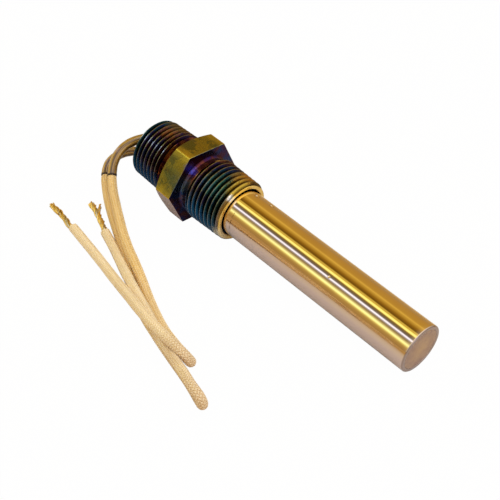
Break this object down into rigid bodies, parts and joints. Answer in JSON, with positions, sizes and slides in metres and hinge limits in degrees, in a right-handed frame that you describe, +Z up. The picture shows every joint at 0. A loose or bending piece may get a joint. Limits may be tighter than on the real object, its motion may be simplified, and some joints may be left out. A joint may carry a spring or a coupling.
{
  "type": "adjustable temperature switch",
  "caption": "Temperature switch with a closed metal probe, a hexagon nipple with a taper pipe thread on each side, a setting screw in its rear bore and folded braided leads.",
  "frame": {"origin": "on the surface the switch lies on, under the middle of its box without the leads; it lies on one flat of the hexagon and on its tip", "axes": "+X towards the probe's tip, level with the surface; +Z up; the leads lie on the -Y side"},
  "size_m": [0.1289, 0.0756, 0.0258],
  "materials": {
    "nipple_steel": "machined, heat tinted from olive to purple",
    "shell_steel": "polished along its length, straw heat tint",
    "cap_steel": "faced, mauve brown tint",
    "inner_steel": "machined",
    "ceramic": "unglazed",
    "screw_brass": "turned, slotted head",
    "strut_alloy": "rolled low-expansion strip",
    "contact_silver": "silver",
    "liner": "mica insulation",
    "terminal_brass": "crimped",
    "wire": "bare strands, twisted",
    "varnished_sleeve": "varnished glass sleeving, brown",
    "glass_braid": "braided glass fibre, cream to gold"
  },
  "bodies": {
    "root": {"coupling_nipple": "nipple_steel", "sensing_shell": "shell_steel", "end_cap": "cap_steel", "head_bushing": "inner_steel", "lead_guide": "ceramic", "tail_insulator": "ceramic", "tail_rivets": "inner_steel", "tail_pin": "inner_steel", "tail_yoke": "inner_steel", "insulating_liner": "liner", "lead_sleeve_a": "varnished_sleeve", "lead_braid_a": "glass_braid", "lead_strands_a": "wire", "lead_sleeve_b": "varnished_sleeve", "lead_braid_b": "glass_braid", "lead_strands_b": "wire"},
    "strut_head": {"head_yoke": "inner_steel", "head_pin": "inner_steel", "head_insulator": "ceramic", "head_rivets": "inner_steel", "lead_crimp_a": "terminal_brass", "lead_crimp_b": "terminal_brass", "lead_conductor_a": "wire", "lead_conductor_b": "wire"},
    "adjuster": {"adjusting_screw": "screw_brass"},
    "contact_arm_a": {"contact_a": "contact_silver", "strut_a": "strut_alloy"},
    "contact_arm_b": {"contact_b": "contact_silver", "strut_b": "strut_alloy"}
  },
  "joints": [
    {"name": "setting_slide", "type": "slide", "parent": "root", "child": "strut_head", "axis": [0.9986, 0, -0.052], "range_m": [-0.0002625, 0.0002625]},
    {"name": "adjuster_turn", "type": "hinge", "parent": "strut_head", "child": "adjuster", "pos_m": [-0.04791, 0, 0.01341], "axis": [0.9986, 0, -0.052], "range_deg": [-270, 270]},
    {"name": "contact_a_flex", "type": "slide", "parent": "root", "child": "contact_arm_a", "axis": [0.052, 0, 0.9986], "range_m": [0, 0.00015], "stiffness_N_per_m": 500, "deforming": ["strut_a"]},
    {"name": "contact_b_flex", "type": "slide", "parent": "root", "child": "contact_arm_b", "axis": [-0.052, 0, -0.9986], "range_m": [0, 0.00015], "stiffness_N_per_m": 500, "deforming": ["strut_b"]}
  ],
  "couplings": [
    {"joint": "adjuster_turn", "follows": "setting_slide", "rad_per_m": 17952},
    {"joint": "contact_b_flex", "follows": "contact_a_flex", "ratio": 1}
  ]
}
